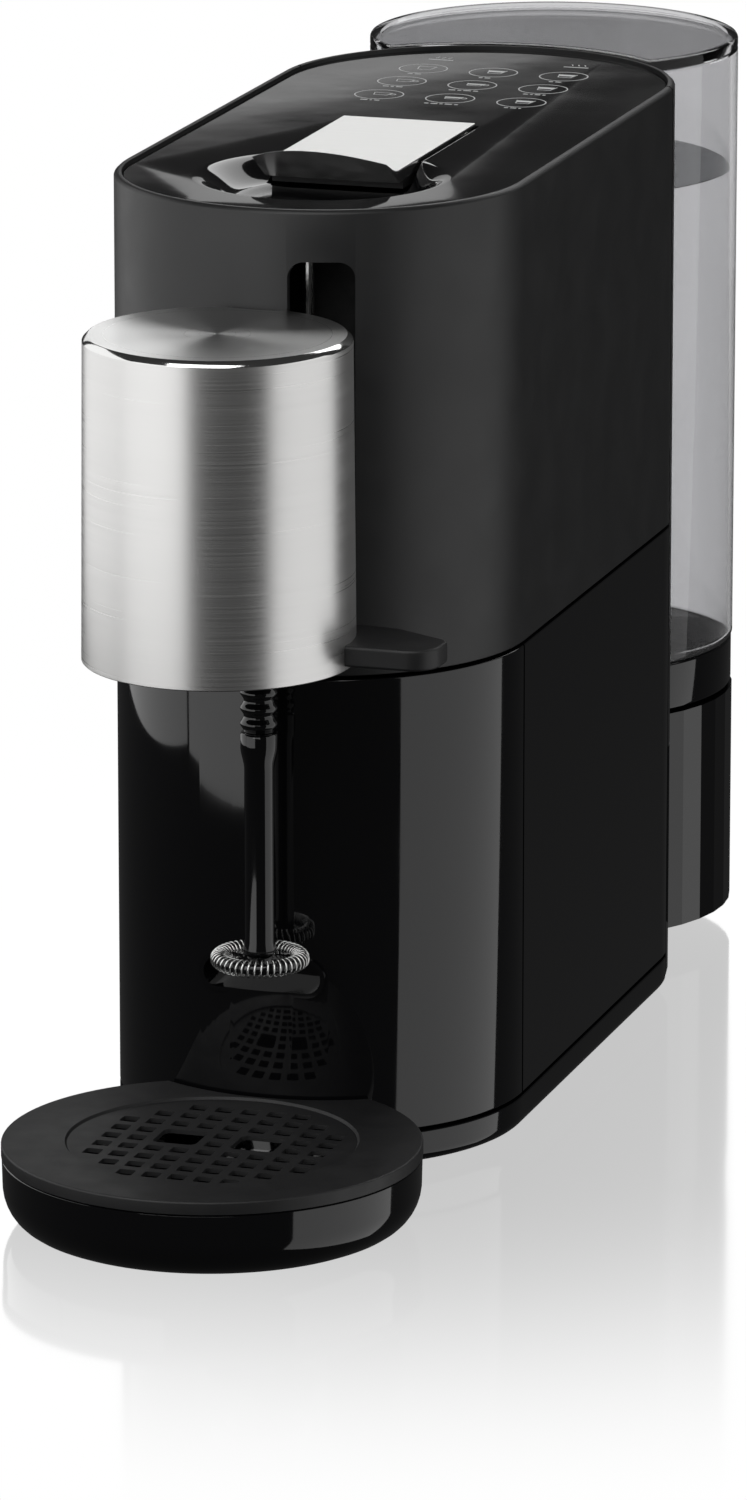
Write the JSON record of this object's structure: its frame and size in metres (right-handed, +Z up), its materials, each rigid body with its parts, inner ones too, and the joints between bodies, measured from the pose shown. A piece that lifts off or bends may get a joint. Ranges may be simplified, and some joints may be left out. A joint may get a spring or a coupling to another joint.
{
  "type": "pod coffee machine",
  "caption": "Slim pod coffee machine with round front and rear, touch panel, capsule lever, lifting steel whisk head, drip tray and rear water tank.",
  "frame": {"origin": "centre of the bounding box, on the worktop under the feet", "axes": "+Z up, cup side towards -Y, water tank towards +Y, thumb lever on the +X side"},
  "size_m": [0.136, 0.4962, 0.3197],
  "materials": {
    "satin_graphite": "satin graphite black, fine even texture",
    "gloss_black": "deep gloss black",
    "matte_black": "matte moulded black",
    "brushed_steel": "brushed stainless steel",
    "steel_wire": "bright drawn wire and pins",
    "smoked_clear": "smoked clear plastic",
    "grey_moulding": "engineering plastic, inside only",
    "rubber": "black rubber",
    "cast_aluminium": "as cast",
    "circuit_board": "green solder mask",
    "silicone_hose": "milky silicone"
  },
  "bodies": {
    "chassis": {"base_plate": "gloss_black", "foot_front_left": "rubber", "foot_front_right": "rubber", "foot_rear_left": "rubber", "foot_rear_right": "rubber", "lower_housing": "gloss_black", "drawer_front": "gloss_black", "capsule_bin": "grey_moulding", "upper_housing": "satin_graphite", "rear_cover": "satin_graphite", "top_panel": "gloss_black", "lever_pin": "steel_wire", "brew_frame": "grey_moulding", "piercing_plate": "cast_aluminium", "lift_bracket": "cast_aluminium", "guide_rod_left": "steel_wire", "guide_rod_right": "steel_wire", "tank_dock": "gloss_black", "cord_gland": "rubber", "dock_seal": "rubber", "pump": "cast_aluminium", "pump_mount_front": "rubber", "pump_mount_rear": "rubber", "flow_meter": "grey_moulding", "heater": "cast_aluminium", "heater_bracket": "cast_aluminium", "inlet_hose": "silicone_hose", "pressure_hose": "silicone_hose", "brew_hose": "silicone_hose", "main_board": "circuit_board", "touch_board": "circuit_board"},
    "lever": {"capsule_lever": "matte_black", "lever_plate": "brushed_steel"},
    "cage": {"brew_cage": "grey_moulding"},
    "head": {"head_shell": "brushed_steel", "head_floor": "matte_black", "head_shelf": "grey_moulding", "head_carriage": "grey_moulding", "thumb_lever": "matte_black", "coffee_spout": "matte_black", "whisk_motor": "cast_aluminium"},
    "whisk": {"drive_coupling": "grey_moulding", "motor_shaft": "steel_wire", "whisk_collar": "matte_black", "whisk_shaft": "gloss_black", "whisk_ring": "steel_wire"},
    "tray": {"drip_tray": "gloss_black"},
    "grid": {"drip_grid": "matte_black"},
    "tank": {"water_tank": "smoked_clear", "tank_foot": "gloss_black", "tank_filter": "grey_moulding"},
    "lid": {"tank_lid": "smoked_clear"},
    "valve": {"tank_valve": "grey_moulding"}
  },
  "joints": [
    {"name": "lever_hinge", "type": "hinge", "parent": "chassis", "child": "lever", "pos_m": [-0.002, 0.01845, 0.3058], "axis": [-1, 0, 0], "range_deg": [0, 75]},
    {"name": "cage_slide", "type": "slide", "parent": "chassis", "child": "cage", "axis": [0, 1, 0], "range_m": [0, 0.018]},
    {"name": "head_lift", "type": "slide", "parent": "chassis", "child": "head", "axis": [0, 0, 1], "range_m": [0, 0.06]},
    {"name": "whisk_spin", "type": "hinge", "parent": "head", "child": "whisk", "pos_m": [0.0038, -0.15255, 0.13], "axis": [0, 0, 1], "continuous": true},
    {"name": "tray_slide", "type": "slide", "parent": "chassis", "child": "tray", "axis": [0, -1, 0], "range_m": [0, 0.08]},
    {"name": "grid_lift", "type": "slide", "parent": "tray", "child": "grid", "axis": [0, 0, 1], "range_m": [0, 0.03]},
    {"name": "tank_lift", "type": "slide", "parent": "chassis", "child": "tank", "axis": [0, 0, 1], "range_m": [0, 0.1]},
    {"name": "lid_lift", "type": "slide", "parent": "tank", "child": "lid", "axis": [0, 0, 1], "range_m": [0, 0.03]},
    {"name": "valve_slide", "type": "slide", "parent": "tank", "child": "valve", "axis": [0, 0, 1], "range_m": [0, 0.002], "stiffness_N_per_m": 60}
  ],
  "couplings": [
    {"joint": "cage_slide", "follows": "lever_hinge", "m_per_rad": 0.0137}
  ]
}
